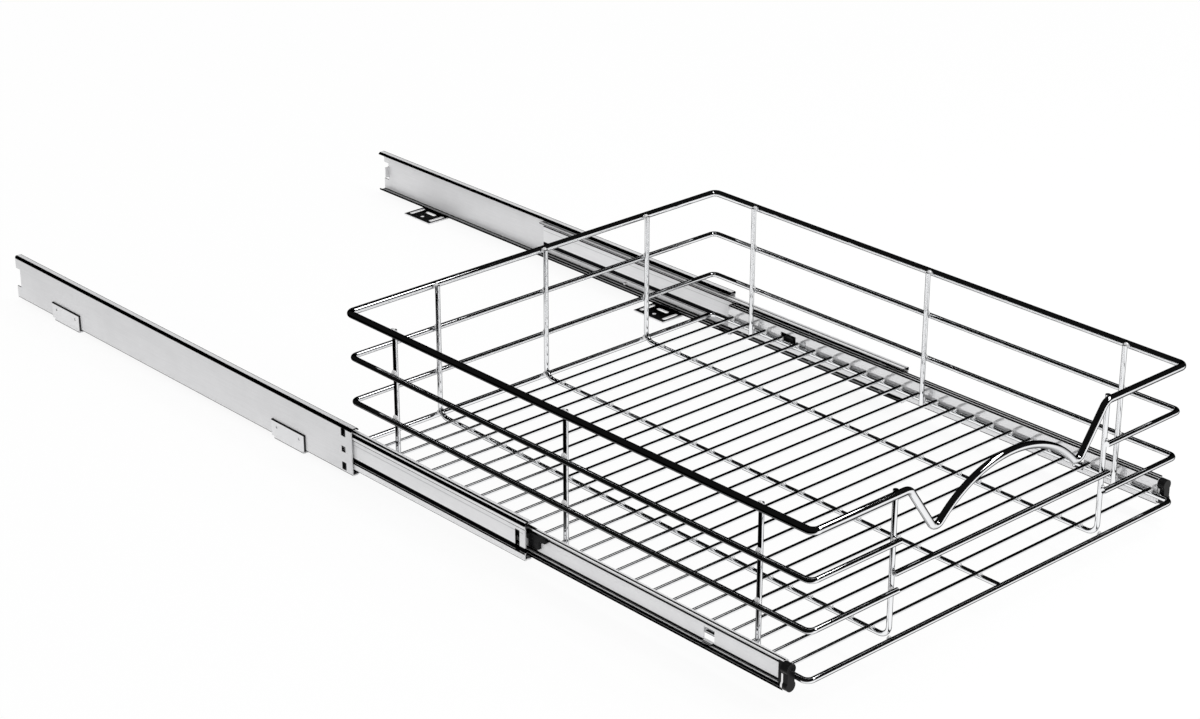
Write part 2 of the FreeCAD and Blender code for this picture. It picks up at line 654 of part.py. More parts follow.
def bracket(name, side, place):
    """Mounting bracket: a plate welded on the web, with a slotted flange on the floor."""
    body = new_body(name)
    outer = web_x + d.weld_gap + d.bracket_sheet
    plate_x = outer - d.bracket_sheet / 2
    centre_z = d.bracket_sheet / 2
    points = [Vector(side * plate_x, d.bracket_height, 0), Vector(side * plate_x, centre_z, 0),
              Vector(side * (outer - d.bracket_reach), centre_z, 0)]
    sketch = new_sketch(body, name + "_section", "XZ_Plane", -(place + d.bracket_width / 2))
    draw(sketch, bent_sheet(points, [d.corner_radius], d.bracket_sheet))
    pad(body, name + "_sheet", sketch, read("bracket_width"))

    sketch = new_sketch(body, name + "_neck_outline", "YZ_Plane",
                        side * (web_x - d.bracket_reach / 2))
    for end in (-1, 1):
        edge = place + end * d.bracket_width / 2
        low = min(edge - end * d.bracket_neck, edge + end * d.sheet)
        draw_box(sketch, low, -d.sheet,
                 low + d.bracket_neck + d.sheet, d.bracket_sheet + d.bracket_seat)
    pocket(body, name + "_neck", sketch, 2 * d.bracket_reach)

    inner_edge = outer - d.bracket_reach
    sketch = new_sketch(body, name + "_slot_outlines", "XY_Plane", 0.0)
    for end in (-1, 1):
        draw_slot(sketch, Vector(side * (inner_edge + d.cross_slot_inset),
                                 place + end * d.cross_slot_spread / 2, 0),
                  d.cross_slot_length, d.slot_width, Vector(1, 0, 0))
    draw_slot(sketch, Vector(side * (inner_edge + d.long_slot_inset), place, 0),
              d.long_slot_length, d.slot_width, Vector(0, 1, 0))
    draw_circle(sketch, side * (inner_edge + d.pilot_inset), place, "pilot_hole")
    pocket(body, name + "_slots", sketch, 4 * d.bracket_sheet)

    sketch = new_sketch(body, name + "_dimple_outlines", "YZ_Plane", side * outer)
    for end in (-1, 1):
        draw_circle(sketch, place + end * d.weld_dimple_spread / 2,
                    d.bracket_height - d.weld_dimple_drop, "weld_dimple")
    pocket(body, name + "_dimples", sketch, "2 * Sizes.weld_dimple_depth")
    return body


def ring_corners(half_width, half_depth, height):
    """The four corners of a ring of wire, anticlockwise from the front left."""
    return [Vector(x, basket_y + y, height) for x, y in (
        (-half_width, -half_depth), (half_width, -half_depth),
        (half_width, half_depth), (-half_width, half_depth))]


def path_edges(pieces):
    edges = []
    for start, middle, end in pieces:
        curve = Part.LineSegment(start, end) if middle is None else Part.Arc(start, middle, end)
        edges.append(curve.toShape())
    return edges


def bent_wire(label, pieces, wire_name):
    """A round wire swept along straight runs and arcs; its diameter is bound to the sheet."""
    path = doc.addObject("Part::Feature", label + "_path")
    path.Shape = Part.Wire(path_edges(pieces))
    start, middle, end = pieces[0]
    circle = doc.addObject("Part::Circle", label + "_section")
    circle.setExpression("Radius", read(wire_name) + " / 2")
    circle.Placement = Placement(start, Rotation(Vector(0, 0, 1), end - start))
    sweep = doc.addObject("Part::Sweep", label)
    sweep.Label = label
    sweep.Sections = [circle]
    sweep.Spine = (path, ["Edge%d" % (index + 1) for index in range(len(pieces))])
    sweep.Solid = True
    sweep.Frenet = False
    doc.recompute()
    return sweep


def straight_wire(name, start, direction, length, wire_name):
    """A straight round wire."""
    wire = doc.addObject("Part::Cylinder", name)
    wire.setExpression("Radius", read(wire_name) + " / 2")
    wire.Height = length
    wire.Placement = Placement(start, Rotation(Vector(0, 0, 1), direction))
    return wire


def part_ring(label, height):
    """A ring open at the front, where it ends on the two front uprights."""
    end_x = hoop_x - d.upright_wire / 2
    front_left, front_right, back_right, back_left = ring_corners(
        ring_x, d.basket_depth / 2, height)
    points = [Vector(-end_x, front_left.y, height), front_left, back_left, back_right,
              front_right, Vector(end_x, front_right.y, height)]
    return bent_wire(label, rounded(points, [d.corner] * 4), "ring_wire")


def bottom_ring():
    """The closed ring under the basket's walls."""
    front_left, front_right, back_right, back_left = ring_corners(
        ring_x, d.basket_depth / 2, ring_z)
    middle = (back_left + back_right) / 2
    points = [middle, back_left, front_left, front_right, back_right, middle]
    return bent_wire("bottom_ring", rounded(points, [d.corner] * 4), "ring_wire")


def handle_pieces():
    """The wave handle, from upright to upright: shoulders, steep runs, tight valleys and
    one broad arch."""
    front = basket_y - top_y
    arch_centre = top_z - d.wave_peak_drop - d.wave_radius
    valley_z = arch_centre + math.sqrt(
        (d.wave_radius + d.wave_valley_radius) ** 2 - d.wave_valley ** 2)
    shoulder_z = top_z - d.wave_shoulder_radius
    across = d.wave_shoulder - d.wave_valley
    up = shoulder_z - valley_z
    distance = math.hypot(across, up)
    lean = math.atan2(up, across) + math.asin(
        (d.wave_valley_radius + d.wave_shoulder_radius) / distance)

    def at(x, z):
        return Vector(x, front, z)

    def shoulder_point(angle):
        return at(d.wave_shoulder + d.wave_shoulder_radius * math.cos(angle),
                  shoulder_z + d.wave_shoulder_radius * math.sin(angle))

    def valley_point(angle):
        return at(d.wave_valley + d.wave_valley_radius * math.cos(angle),
                  valley_z + d.wave_valley_radius * math.sin(angle))

    right = math.pi / 2
    inward = math.atan2(arch_centre - valley_z, -d.wave_valley)
    if inward > 0:
        inward -= 2 * math.pi
    outward = lean - right
    shoulder = (shoulder_point(right), shoulder_point((right + lean + right) / 2),
                shoulder_point(lean + right))
    valley = (valley_point(outward), valley_point((outward + inward) / 2), valley_point(inward))
    arch_end = valley[2]
    peak = at(0, top_z - d.wave_peak_drop)
    half = [(at(hoop_x, top_z), None, shoulder[0]), shoulder,
            (shoulder[2], None, valley[0]), valley]
    across_x = [tuple(point and Vector(-point.x, point.y, point.z) for point in piece)
                for piece in half]
    arch = [(Vector(-arch_end.x, arch_end.y, arch_end.z), peak, arch_end)]
    return across_x + arch + [(end, middle, start) for start, middle, end in reversed(half)]


def top_rail():
    """The thick top rail, from one end of the handle round the back to the other."""
    front_left, front_right, back_right, back_left = ring_corners(top_x, top_y, top_z)
    left_end = Vector(-hoop_x - d.weld_gap, front_left.y, top_z)
    right_end = Vector(hoop_x + d.weld_gap, front_right.y, top_z)
    points = [left_end, front_left, back_left, back_right, front_right, right_end]
    return bent_wire("top_rail", rounded(points, [d.corner] * 4), "top_wire")


def hoop(label, x, front_wall):
    """A wire that comes down the back wall, runs forward under the floor and, on an outer
    hoop, rises again as a front upright."""
    high = top_z + d.upright_peek
    back = basket_y + upright_y
    front = basket_y - upright_y
    points = [Vector(x, back, high), Vector(x, back, hoop_z)]
    if front_wall:
        points += [Vector(x, front, hoop_z), Vector(x, front, high)]
    else:
        points.append(Vector(x, basket_y - weld_y, hoop_z))
    return bent_wire(label, rounded(points, [d.hoop_bend] * (len(points) - 2)), "upright_wire")


def side_uprights(label, side):
    """Three uprights inside the rings of one side wall."""
    low = ring_z - d.upright_wire / 2
    members = []
    for index in (-1, 0, 1):
        place = basket_y + index * d.upright_spread / 2
        members.append(straight_wire(label + "_wire", Vector(side * upright_x, place, low),
                                     Vector(0, 0, 1), top_z + d.upright_peek - low,
                                     "upright_wire"))
    return group(label, members)


def floor():
    """Cross wires, evenly spaced between the front and the back of the bottom ring."""
    count = int(d.floor_wires)
    first = ring_front + d.floor_front_gap
    pitch = (d.basket_depth - d.floor_front_gap - d.floor_back_gap) / (count - 1)
    members = []
    for index in range(count):
        start = Vector(-ring_x, first + pitch * index, floor_z)
        members.append(straight_wire("floor_wire", start, Vector(1, 0, 0), 2 * ring_x,
                                     "floor_wire"))
    return group("floor_grid", members)


def front_cross_wire():
    """The short wire that joins the two front uprights below the handle."""
    end_x = hoop_x + d.upright_wire / 2
    height = ring_z + d.cross_wire_rise
    wire = straight_wire("front_cross_wire", Vector(-end_x, ring_front, height),
                         Vector(1, 0, 0), 2 * end_x, "ring_wire")
    wire.Label = "front_cross_wire"
    return wire


hoop_x = d.hoop_spread / 2
pivot_y = latch_y + d.web_gap + d.hook_to_pivot
pivot_z = slide_z + d.lever_pivot_rise
tail_y = pivot_y + d.tail_length

subparts = []
for word, side in SIDES:
    subparts.append(outer_member("outer_member_" + word, side))
    subparts.append(middle_member("middle_member_" + word, side))
    subparts.append(inner_member("inner_member_" + word, side))
    for cage, web_s, ball_s, ball_t, front, count in (
            ("outer", outer_cage_s, outer_ball_s, outer_ball_t, outer_cage_front,
             int(d.outer_balls)),
            ("inner", inner_cage_s, inner_ball_s, inner_ball_t, inner_cage_front,
             int(d.inner_balls))):
        name = cage + "_cage_" + word
        places = ball_cage(name, side, web_s, ball_s, ball_t, front,
                           cage + "_cage_length", count)
        subparts.append(doc.getObject(name))
        subparts.append(ball_row(cage + "_balls_" + word, side, ball_s, ball_t, places))
    subparts.append(release_lever("release_lever_" + word, side))
    subparts.append(lever_rivet("lever_rivet_" + word, side))
    subparts.append(end_cap("end_cap_" + word, side))
    for end, direction in (("front", -1), ("back", 1)):
        subparts.append(bracket("bracket_%s_%s" % (end, word), side,
                                direction * (d.slide_length / 2 - d.bracket_inset)))
    subparts.append(side_uprights("side_uprights_" + word, side))
    subparts.append(hoop("hoop_" + word, side * hoop_x, True))

subparts.append(hoop("hoop_centre", 0.0, False))
subparts.append(bottom_ring())
subparts.append(part_ring("lower_ring", ring_z + d.lower_ring_rise))
subparts.append(part_ring("upper_ring", ring_z + d.upper_ring_rise))
subparts.append(front_cross_wire())
subparts.append(top_rail())
subparts.append(bent_wire("handle", handle_pieces(), "top_wire"))
subparts.append(floor())
doc.recompute()

for item in doc.Objects:
    if "Invalid" in item.State or "Error" in item.State:
        raise ValueError("%s did not build: %s" % (item.Name, item.State))
for item in subparts:
    if item.Shape.isNull() or not item.Shape.isValid() or not item.Shape.Solids:
        raise ValueError("%s has no valid solid" % item.Label)

os.makedirs("parts", exist_ok=True)
for item in subparts:
    item.Shape.exportStep("parts/%s.step" % item.Label)
    print("%-24s %2d solids %10.1f mm3" % (item.Label, len(item.Shape.Solids), item.Shape.Volume))
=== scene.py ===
import math

import bmesh
import bpy
from mathutils import Matrix, Vector


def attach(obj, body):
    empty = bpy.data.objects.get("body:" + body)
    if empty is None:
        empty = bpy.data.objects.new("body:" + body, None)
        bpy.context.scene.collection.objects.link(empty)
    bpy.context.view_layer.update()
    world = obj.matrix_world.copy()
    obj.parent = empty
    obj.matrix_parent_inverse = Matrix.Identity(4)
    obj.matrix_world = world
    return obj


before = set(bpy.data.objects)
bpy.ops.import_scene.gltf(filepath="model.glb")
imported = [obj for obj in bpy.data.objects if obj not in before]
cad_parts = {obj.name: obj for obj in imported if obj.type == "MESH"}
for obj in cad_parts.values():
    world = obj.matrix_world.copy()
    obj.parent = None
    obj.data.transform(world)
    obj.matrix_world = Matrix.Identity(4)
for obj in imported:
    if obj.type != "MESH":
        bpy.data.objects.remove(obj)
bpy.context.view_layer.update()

# Chrome wire drawer on ball-bearing slides, drawn out to its stops.
# Everything is in the part's own frame, in metres, save for the spans of the slides' tones and
# of their dark marks, which are in millimetres.

MM = 0.001
BODY = "drawer"
SLIDE_Z = 0.02605  # the slides' middle height
SIDES = (("left", -1), ("right", 1))
WIRE_NODES = ("top_rail", "handle", "upper_ring", "lower_ring", "front_cross_wire",
              "bottom_ring", "floor_grid", "hoop_left", "hoop_centre", "hoop_right",
              "side_uprights_left", "side_uprights_right")


# ---- node groups ----

def link_or_set(tree, socket, value):
    """Set the socket to a plain value or colour, or link it to another node's output."""
    if isinstance(value, (int, float)):
        socket.default_value = value
    elif isinstance(value, tuple):
        socket.default_value = (*value, 1.0)
    else:
        tree.links.new(value, socket)


def new_group(name, inputs, outputs):
    """A shader group: inputs are (name, kind, default), outputs are (name, kind)."""
    tree = bpy.data.node_groups.new(name, "ShaderNodeTree")
    for label, kind, default in inputs:
        socket = tree.interface.new_socket(label, in_out="INPUT", socket_type=kind)
        socket.default_value = default
    for label, kind in outputs:
        tree.interface.new_socket(label, in_out="OUTPUT", socket_type=kind)
    entry = tree.nodes.new("NodeGroupInput")
    leave = tree.nodes.new("NodeGroupOutput")
    return tree, entry, leave


def maths(tree, operation, first, second=None, third=None, clamp=False):
    node = tree.nodes.new("ShaderNodeMath")
    node.operation = operation
    node.use_clamp = clamp
    for socket, value in zip(node.inputs, (first, second, third)):
        if value is not None:
            link_or_set(tree, socket, value)
    return node.outputs[0]


def remap(tree, value, low, high, to_low, to_high):
    """Value from low...high to to_low...to_high, easing in and out."""
    node = tree.nodes.new("ShaderNodeMapRange")
    node.interpolation_type = "SMOOTHSTEP"
    for socket, setting in zip(node.inputs, (value, low, high, to_low, to_high)):
        link_or_set(tree, socket, setting)
    return node.outputs[0]


def band(tree, value, low, high, soft):
    """1 between low and high, fading to 0 over soft on both sides."""
    rise = remap(tree, value, maths(tree, "SUBTRACT", low, soft), low, 0.0, 1.0)
    fall = remap(tree, value, high, maths(tree, "ADD", high, soft), 1.0, 0.0)
    return maths(tree, "MULTIPLY", rise, fall)


def blend_colour(tree, amount, first, second):
    node = tree.nodes.new("ShaderNodeMix")
    node.data_type = "RGBA"
    for index, value in ((0, amount), (6, first), (7, second)):
        link_or_set(tree, node.inputs[index], value)
    return node.outputs[2]


def noise(tree, vector, scale, detail=2.0, rough=0.5):
    node = tree.nodes.new("ShaderNodeTexNoise")
    node.inputs["Detail"].default_value = detail
    node.inputs["Roughness"].default_value = rough
    link_or_set(tree, node.inputs["Scale"], scale)
    tree.links.new(vector, node.inputs["Vector"])
    return node.outputs["Fac"]


def stretched(tree, vector, stretch):
    node = tree.nodes.new("ShaderNodeMapping")
    node.inputs["Scale"].default_value = stretch
    tree.links.new(vector, node.inputs["Vector"])
    return node.outputs["Vector"]


def split_axes(tree, vector):
    """The outputs X, Y and Z of a vector."""
    node = tree.nodes.new("ShaderNodeSeparateXYZ")
    tree.links.new(vector, node.inputs[0])
    return node.outputs


def make_plating():
    """Smooth plating: faint ripple of the drawn wire and soft smears in its gloss."""
    tree, entry, leave = new_group(
        "plating",
        (("Vector", "NodeSocketVector", (0, 0, 0)), ("Ripple Scale", "NodeSocketFloat", 60.0),
         ("Gloss", "NodeSocketFloat", 0.04), ("Smear", "NodeSocketFloat", 0.05)),
        (("Roughness", "NodeSocketFloat"), ("Height", "NodeSocketFloat"),
         ("Tone", "NodeSocketFloat")))
    ripple = noise(tree, entry.outputs["Vector"], entry.outputs["Ripple Scale"], 3.0)
    smears = noise(tree, entry.outputs["Vector"], 35.0, 4.0, 0.6)
    smear = remap(tree, smears, 0.45, 0.75, 0.0, entry.outputs["Smear"])
    tree.links.new(maths(tree, "ADD", entry.outputs["Gloss"], smear), leave.inputs["Roughness"])
    tree.links.new(ripple, leave.inputs["Height"])
    tree.links.new(smears, leave.inputs["Tone"])
    return tree


def make_rolled():
    """Rolled and zinc-plated strip: streaks along the slide, a soft cloudy cast, a fine grain."""
    tree, entry, leave = new_group(
        "rolled_strip",
        (("Vector", "NodeSocketVector", (0, 0, 0)), ("Gloss", "NodeSocketFloat", 0.3),
         ("Streak", "NodeSocketFloat", 0.1), ("Light", "NodeSocketColor", (0.8, 0.8, 0.8, 1)),
         ("Dark", "NodeSocketColor", (0.6, 0.6, 0.6, 1))),
        (("Colour", "NodeSocketColor"), ("Roughness", "NodeSocketFloat"),
         ("Height", "NodeSocketFloat")))
    along = stretched(tree, entry.outputs["Vector"], (1.0, 0.02, 1.0))
    streaks = noise(tree, along, 1400.0, 3.0, 0.6)
    cast = noise(tree, entry.outputs["Vector"], 22.0, 5.0, 0.65)
    grain = noise(tree, entry.outputs["Vector"], 2600.0, 2.0)
    tone = maths(tree, "ADD", maths(tree, "MULTIPLY", streaks, 0.45),
                 maths(tree, "MULTIPLY", cast, 0.55))
    mask = remap(tree, tone, 0.35, 0.65, 0.0, 1.0)
    colour = blend_colour(tree, mask, entry.outputs["Dark"], entry.outputs["Light"])
    rough = maths(tree, "MULTIPLY_ADD", streaks, entry.outputs["Streak"], entry.outputs["Gloss"])
    height = maths(tree, "ADD", maths(tree, "MULTIPLY", streaks, 0.7),
                   maths(tree, "MULTIPLY", grain, 0.3))
    tree.links.new(colour, leave.inputs["Colour"])
    tree.links.new(rough, leave.inputs["Roughness"])
    tree.links.new(height, leave.inputs["Height"])
    return tree


def make_profile():
    """Painted shade of a folded member: tone 1 on its upright web and on level tops, 0 on folds,
    in races and under its lips. Groove and Brow are painted dark lines along the web, as heights
    from Centre, the slide's middle. Crown is a painted dark line along the tops, as a span
    across, and tops nearer the drawer's middle than Far Edge are painted dark too. Inside is the
    painted tone of level faces below Centre, and Fold that of sloping ones above it."""
    tree, entry, leave = new_group(
        "member_profile",
        (("Vector", "NodeSocketVector", (0, 0, 0)), ("Normal", "NodeSocketVector", (0, 0, 1)),
         ("Centre", "NodeSocketFloat", 0.026), ("Groove Low", "NodeSocketFloat", 1.0),
         ("Groove High", "NodeSocketFloat", 1.0), ("Brow Low", "NodeSocketFloat", 1.0),
         ("Brow High", "NodeSocketFloat", 1.0), ("Crown Low", "NodeSocketFloat", 1.0),
         ("Crown High", "NodeSocketFloat", 1.0), ("Far Edge", "NodeSocketFloat", 0.0),
         ("Inside", "NodeSocketFloat", 0.5), ("Fold", "NodeSocketFloat", 0.0)),
        (("Bright", "NodeSocketFloat"),))
    spot = split_axes(tree, entry.outputs["Vector"])
    facing_up = split_axes(tree, entry.outputs["Normal"])["Z"]
    rise = maths(tree, "SUBTRACT", spot["Z"], entry.outputs["Centre"])
    across = maths(tree, "ABSOLUTE", spot["X"])
    tilt = maths(tree, "ABSOLUTE", facing_up)
    upright = remap(tree, tilt, 0.12, 0.32, 1.0, 0.0)
    level = remap(tree, facing_up, 0.8, 0.95, 0.0, 1.0)
    upper = maths(tree, "GREATER_THAN", rise, 0.0)
    crown = maths(tree, "MULTIPLY", level,
                  remap(tree, upper, 0.0, 1.0, entry.outputs["Inside"], 1.0))
    fold = maths(tree, "MULTIPLY", remap(tree, facing_up, 0.3, 0.5, 0.0, 1.0),
                 maths(tree, "MULTIPLY", upper, entry.outputs["Fold"]))
    crown = maths(tree, "MAXIMUM", crown, fold)
    crease = band(tree, across, entry.outputs["Crown Low"], entry.outputs["Crown High"], 0.4 * MM)
    crease = maths(tree, "MAXIMUM", crease,
                   maths(tree, "LESS_THAN", across, entry.outputs["Far Edge"]))
    crown = maths(tree, "MULTIPLY", crown, maths(tree, "SUBTRACT", 1.0, crease))
    groove = band(tree, rise, entry.outputs["Groove Low"], entry.outputs["Groove High"], 0.6 * MM)
    brow = band(tree, rise, entry.outputs["Brow Low"], entry.outputs["Brow High"], 0.6 * MM)
    lines = maths(tree, "SUBTRACT", 1.0, maths(tree, "MAXIMUM", groove, brow))
    web = maths(tree, "MULTIPLY", upright, lines)
    tree.links.new(maths(tree, "MAXIMUM", web, crown), leave.inputs["Bright"])
    return tree


def make_dark_mark():
    """A soft-edged dark oblong of painted shade, given along the slide and up from the slide's
    middle height; the end caps' painted highlight uses it turned round.
    """
    tree, entry, leave = new_group(
        "dark_mark",
        (("Vector", "NodeSocketVector", (0, 0, 0)), ("Bright", "NodeSocketFloat", 1.0),
         ("Centre", "NodeSocketFloat", 0.026), ("Along Low", "NodeSocketFloat", 1.0),
         ("Along High", "NodeSocketFloat", 1.0), ("Rise Low", "NodeSocketFloat", 1.0),
         ("Rise High", "NodeSocketFloat", 1.0), ("Soft", "NodeSocketFloat", 0.0006),
         ("Depth", "NodeSocketFloat", 1.0)),
        (("Bright", "NodeSocketFloat"),))
    spot = split_axes(tree, entry.outputs["Vector"])
    rise = maths(tree, "SUBTRACT", spot["Z"], entry.outputs["Centre"])
    soft = entry.outputs["Soft"]
    along = band(tree, spot["Y"], entry.outputs["Along Low"], entry.outputs["Along High"], soft)
    up = band(tree, rise, entry.outputs["Rise Low"], entry.outputs["Rise High"], soft)
    share = maths(tree, "MULTIPLY", maths(tree, "MULTIPLY", along, up), entry.outputs["Depth"])
    tree.links.new(maths(tree, "MULTIPLY", entry.outputs["Bright"],
                         maths(tree, "SUBTRACT", 1.0, share)), leave.inputs["Bright"])
    return tree


PLATING = make_plating()
ROLLED = make_rolled()
PROFILE = make_profile()
DARK_MARK = make_dark_mark()


# ---- materials ----

BRIGHT_CHROME = (0.95, 0.955, 0.96)
DULL_CHROME = (0.86, 0.87, 0.89)
NEAR_BLACK = (0.004, 0.004, 0.004)
# Black of the painted shade on the slide members and brackets
PAINTED_SHADE_BLACK = (0.008, 0.008, 0.009)
WIRE_BUMP = 0.01 * MM
STRIP_BUMP = 0.02 * MM
NO_LINE = (90, 91)  # a span in millimetres that no slide member reaches


def start_material(name):
    """A new material with its Principled shader, its object coordinates and its normals."""
    material = bpy.data.materials.new(name)
    material.use_nodes = True
    tree = material.node_tree
    shader = tree.nodes["Principled BSDF"]
    coords = tree.nodes.new("ShaderNodeTexCoord")
    return material, tree, shader, coords.outputs["Object"], coords.outputs["Normal"]


def place(tree, group, vector, **values):
    """A group's node; each value's name is the socket's, with _ for a space."""
    node = tree.nodes.new("ShaderNodeGroup")
    node.node_tree = group
    tree.links.new(vector, node.inputs["Vector"])
    for label, value in values.items():
        link_or_set(tree, node.inputs[label.replace("_", " ")], value)
    return node


def place_mark(tree, vector, bright, low, high, bottom, top, soft, depth):
    """A dark mark, in millimetres, over the tone that bright carries."""
    return place(tree, DARK_MARK, vector, Bright=bright, Centre=SLIDE_Z, Along_Low=low * MM,
                 Along_High=high * MM, Rise_Low=bottom * MM, Rise_High=top * MM, Soft=soft * MM,
                 Depth=depth).outputs["Bright"]


def bump(tree, shader, height, strength, distance):
    node = tree.nodes.new("ShaderNodeBump")
    node.inputs["Strength"].default_value = strength
    node.inputs["Distance"].default_value = distance
    tree.links.new(height, node.inputs["Height"])
    tree.links.new(node.outputs["Normal"], shader.inputs["Normal"])


def plate_over(tree, shader, plating, shade, bright, dull):
    """Metal with the plating's gloss and ripple, painted black where shade is 1."""
    colour = blend_colour(tree, plating.outputs["Tone"], bright, dull)
    tree.links.new(blend_colour(tree, shade, colour, NEAR_BLACK), shader.inputs["Base Color"])
    shader.inputs["Metallic"].default_value = 1.0
    tree.links.new(plating.outputs["Roughness"], shader.inputs["Roughness"])
    bump(tree, shader, plating.outputs["Height"], 0.6, WIRE_BUMP)


def chrome(name, bright=BRIGHT_CHROME, dull=DULL_CHROME, ripple=60.0, rim=0.0):
    """Chrome plate; rim is how much painted dark reflection its turned-away sides get, save for
    its undersides.
    """
    material, tree, shader, vector, normal = start_material(name)
    plating = place(tree, PLATING, vector, Gloss=0.03, Ripple_Scale=ripple)
    weight = tree.nodes.new("ShaderNodeLayerWeight")
    weight.inputs["Blend"].default_value = 0.5
    # Painted dark reflection on the turned-away sides
    outline = remap(tree, weight.outputs["Facing"], 0.42, 0.66, 0.0, rim)
    above = remap(tree, split_axes(tree, normal)["Z"], -0.8, -0.3, 0.0, 1.0)
    plate_over(tree, shader, plating, maths(tree, "MULTIPLY", outline, above), bright, dull)
    if rim:
        shader.inputs["Specular Tint"].default_value = (0.1, 0.1, 0.1, 1.0)
    return material


def thin_chrome(name):
    """Chrome of the thin floor wires: painted dark reflection along their tops, less of it near
    the left slide.
    """
    material, tree, shader, vector, normal = start_material(name)
    plating = place(tree, PLATING, vector, Gloss=0.05, Ripple_Scale=60.0)
    # Painted dark reflection on the wires' tops, weaker towards the left slide
    top = remap(tree, split_axes(tree, normal)["Z"], 0.05, 0.5, 0.0, 1.0)
    share = remap(tree, split_axes(tree, vector)["X"], -0.19, -0.04, 0.75, 0.98)
    plate_over(tree, shader, plating, maths(tree, "MULTIPLY", top, share), BRIGHT_CHROME,
               DULL_CHROME)
    shader.inputs["Specular Tint"].default_value = (0.5, 0.5, 0.5, 1.0)
    return material


def zinc(name, light, dark, gloss, streak, metallic=0.8):
    """Plain metal with streaks, for the small parts."""
    material, tree, shader, vector, _ = start_material(name)
    rolled = place(tree, ROLLED, vector, Gloss=gloss, Streak=streak, Light=light, Dark=dark)
    tree.links.new(rolled.outputs["Colour"], shader.inputs["Base Color"])
    tree.links.new(rolled.outputs["Roughness"], shader.inputs["Roughness"])
    shader.inputs["Metallic"].default_value = metallic
    bump(tree, shader, rolled.outputs["Height"], 0.5, STRIP_BUMP)
    return material


def member(name, groove, brow, crown, marks=(), pale=0.86, metallic=0.15, gloss=0.3,
           far_edge=0.0, inside=0.5, fold=0.0):
    """A slide member: pale web, with painted shade on its folds and races, along a groove and on
    a brow. The groove and the brow are heights from the slide's middle, the crown is a span
    across. Each mark, a painted dark mark, is along low and high, rise low and high, softness and
    depth."""
    material, tree, shader, vector, normal = start_material(name)
    rolled = place(tree, ROLLED, vector, Gloss=gloss, Streak=0.1, Light=(pale, pale, pale + 0.01),
                   Dark=(pale - 0.06, pale - 0.06, pale - 0.05))
    bright = place(tree, PROFILE, vector, Normal=normal, Centre=SLIDE_Z,
                   Groove_Low=groove[0] * MM, Groove_High=groove[1] * MM, Brow_Low=brow[0] * MM,
                   Brow_High=brow[1] * MM, Crown_Low=crown[0] * MM, Crown_High=crown[1] * MM,
                   Far_Edge=far_edge * MM, Inside=inside, Fold=fold).outputs["Bright"]
    for mark in marks:
        bright = place_mark(tree, vector, bright, *mark)
    # Painted shade: where the profile and the marks are dark, the colour goes to black
    tree.links.new(blend_colour(tree, bright, PAINTED_SHADE_BLACK, rolled.outputs["Colour"]),
                   shader.inputs["Base Color"])
    tree.links.new(rolled.outputs["Roughness"], shader.inputs["Roughness"])
    tree.links.new(maths(tree, "MULTIPLY_ADD", bright, metallic - 1.0, 1.0),
                   shader.inputs["Metallic"])
    shader.inputs["Specular IOR Level"].default_value = 0.3
    shader.inputs["Specular Tint"].default_value = (0.3, 0.3, 0.3, 1.0)
    bump(tree, shader, rolled.outputs["Height"], 0.5, STRIP_BUMP)
    return material


def black_plastic(name):
    """Black moulding, with a painted highlight: a pale bar on the end caps where they meet the
    drawer members.
    """
    material, tree, shader, vector, _ = start_material(name)
    plating = place(tree, PLATING, vector, Gloss=0.22, Smear=0.2, Ripple_Scale=900.0)
    black = blend_colour(tree, plating.outputs["Tone"], NEAR_BLACK, (0.014, 0.014, 0.015))
    # Painted highlight: a pale bar on the end caps
    painted_glint = place_mark(tree, vector, 1.0, -804.4, -802.9, -8.5, 3.0, 0.3, 1.0)
    tree.links.new(blend_colour(tree, painted_glint, (0.9, 0.9, 0.9), black), shader.inputs["Base Color"])
    shader.inputs["Specular IOR Level"].default_value = 0.12
    tree.links.new(plating.outputs["Roughness"], shader.inputs["Roughness"])
    bump(tree, shader, plating.outputs["Height"], 0.4, 0.03 * MM)
    return material


# Painted shade over the members' and brackets' tone: dark marks around the stop slots and the
# latch slot, drawn larger than the slots, along a pressed line on the middle member's web, under
# the release lever, and along the brackets' edges.
STOP_SLOT_SHADE_MARKS = ((-270.8, -265.4, 13.2, 19.6, 0.8, 0.97),
                   (-270.4, -265.4, -2.6, 2.6, 0.5, 0.9),
                   (-270.8, -265.4, -19.6, -13.2, 0.8, 0.97))
LATCH_SLOT_SHADE_MARK = (-502.2, -497.2, -11.5, 8, 0.5, 0.97)
WEB_LINE_SHADE_MARK = (-507, 3, 6.6, 7.1, 0.3, 0.25)
LEVER_SHADE_MARK = (-514, -505, -7.5, 12, 3, 0.95)
BRACKET_EDGE_SHADE_MARKS = ((-212.2, -210.3, -23, -6, 0.3, 0.95), (160.2, 162.1, -23, -6, 0.3, 0.95))

CHROME = chrome("chrome_wire", rim=0.97)
THIN_CHROME = thin_chrome("thin_chrome_wire")
WELD = zinc("weld_metal", (0.95, 0.95, 0.95), (0.85, 0.85, 0.86), 0.2, 0.1, 0.3)
